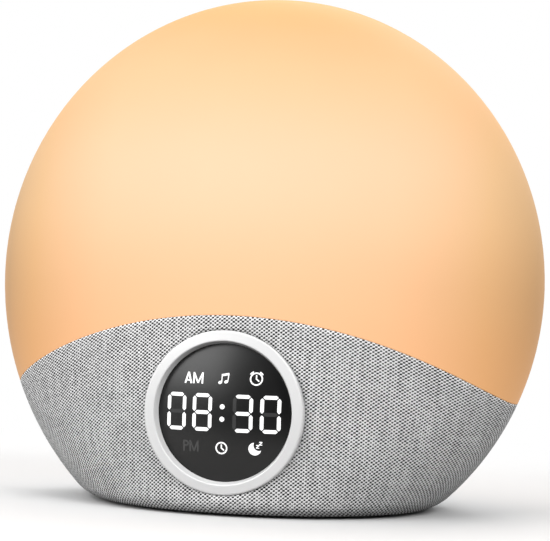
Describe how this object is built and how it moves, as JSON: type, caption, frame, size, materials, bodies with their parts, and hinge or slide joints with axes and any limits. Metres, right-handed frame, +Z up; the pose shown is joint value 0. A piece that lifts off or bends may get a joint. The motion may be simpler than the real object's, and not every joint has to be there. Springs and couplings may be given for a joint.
{
  "type": "sunrise alarm clock",
  "caption": "Table-top sunrise alarm clock: glowing oval light dome on a cloth-covered base with a round digital display in front and a speaker and push buttons at the back.",
  "frame": {"origin": "centre of the clock's footprint on the surface that it stands on", "axes": "+Z up, the display faces -Y, +X along the clock's width to the right of someone who looks at the display"},
  "size_m": [0.183, 0.0988, 0.167],
  "materials": {
    "milky_diffuser": "satin, glows warm",
    "white_plastic": "fine texture",
    "woven_cover": "coarse two-tone weave",
    "grey_plastic": "fine texture",
    "soft_rubber": "matt",
    "steel": "zinc plated",
    "white_gloss": "satin gloss",
    "smoked_lens": "polished smoked",
    "film": "diffusing",
    "black_plastic": "matt",
    "led_chip": "clear resin",
    "circuit_board": "solder mask",
    "chip_black": "moulded",
    "reflector_white": "matt reflective",
    "led_board": "white mask on metal core",
    "acoustic_cloth": "fine",
    "foam": "closed cell foam",
    "plated_steel": "pressed, plated",
    "paper_cone": "coated paper",
    "magnet": "ferrite",
    "socket_white": "nylon",
    "cell_steel": "bright steel",
    "inlet_black": "moulded with plated contact",
    "lead_red": "pvc",
    "lead_black": "pvc",
    "ribbon_grey": "pvc",
    "button_plastic": "fine texture"
  },
  "bodies": {
    "clock": {"base_screws": "steel", "base_shell": "white_plastic", "board_sockets": "socket_white", "bottom_plate": "grey_plastic", "cell_holder": "black_plastic", "coin_cell": "cell_steel", "diffuser_dome": "milky_diffuser", "display_bezel": "white_gloss", "display_board": "circuit_board", "display_board_parts": "chip_black", "display_leds": "led_chip", "display_lens": "smoked_lens", "display_light_box": "black_plastic", "display_ribbon": "ribbon_grey", "display_screws": "steel", "fabric_cover": "woven_cover", "foot_pads": "soft_rubber", "grille_cloth": "acoustic_cloth", "key_board_screws": "steel", "key_switches": "chip_black", "lamp_lead": "lead_red", "led_board": "led_board", "led_chips": "led_chip", "led_screws": "steel", "left_key_board": "circuit_board", "left_key_lead": "lead_black", "light_tray": "reflector_white", "main_board": "circuit_board", "main_board_parts": "chip_black", "main_board_screws": "steel", "panel_screws": "steel", "power_inlet": "inlet_black", "rear_panel": "grey_plastic", "right_key_board": "circuit_board", "right_key_lead": "lead_black", "segment_film": "film", "speaker_cone": "paper_cone", "speaker_frame": "plated_steel", "speaker_gasket": "foam", "speaker_lead": "lead_black", "speaker_magnet": "magnet", "speaker_screws": "steel", "tray_screws": "steel"},
    "light_up_key": {"light_up_button": "button_plastic"},
    "light_down_key": {"light_down_button": "button_plastic"},
    "alarm_one_key": {"alarm_one_button": "button_plastic"},
    "alarm_two_key": {"alarm_two_button": "button_plastic"},
    "volume_up_key": {"volume_up_button": "button_plastic"},
    "volume_down_key": {"volume_down_button": "button_plastic"},
    "sound_key": {"sound_button": "button_plastic"},
    "time_set_key": {"time_set_button": "button_plastic"}
  },
  "joints": [
    {"name": "light_up_press", "type": "slide", "parent": "clock", "child": "light_up_key", "axis": [0, -1, 0], "range_m": [0, 0.0005], "stiffness_N_per_m": 800, "springref_m": -0.0005},
    {"name": "light_down_press", "type": "slide", "parent": "clock", "child": "light_down_key", "axis": [0, -1, 0], "range_m": [0, 0.0005], "stiffness_N_per_m": 800, "springref_m": -0.0005},
    {"name": "alarm_one_press", "type": "slide", "parent": "clock", "child": "alarm_one_key", "axis": [0, -1, 0], "range_m": [0, 0.0005], "stiffness_N_per_m": 800, "springref_m": -0.0005},
    {"name": "alarm_two_press", "type": "slide", "parent": "clock", "child": "alarm_two_key", "axis": [0, -1, 0], "range_m": [0, 0.0005], "stiffness_N_per_m": 800, "springref_m": -0.0005},
    {"name": "volume_up_press", "type": "slide", "parent": "clock", "child": "volume_up_key", "axis": [0, -1, 0], "range_m": [0, 0.0005], "stiffness_N_per_m": 800, "springref_m": -0.0005},
    {"name": "volume_down_press", "type": "slide", "parent": "clock", "child": "volume_down_key", "axis": [0, -1, 0], "range_m": [0, 0.0005], "stiffness_N_per_m": 800, "springref_m": -0.0005},
    {"name": "sound_press", "type": "slide", "parent": "clock", "child": "sound_key", "axis": [0, -1, 0], "range_m": [0, 0.0005], "stiffness_N_per_m": 800, "springref_m": -0.0005},
    {"name": "time_set_press", "type": "slide", "parent": "clock", "child": "time_set_key", "axis": [0, -1, 0], "range_m": [0, 0.0005], "stiffness_N_per_m": 800, "springref_m": -0.0005}
  ]
}
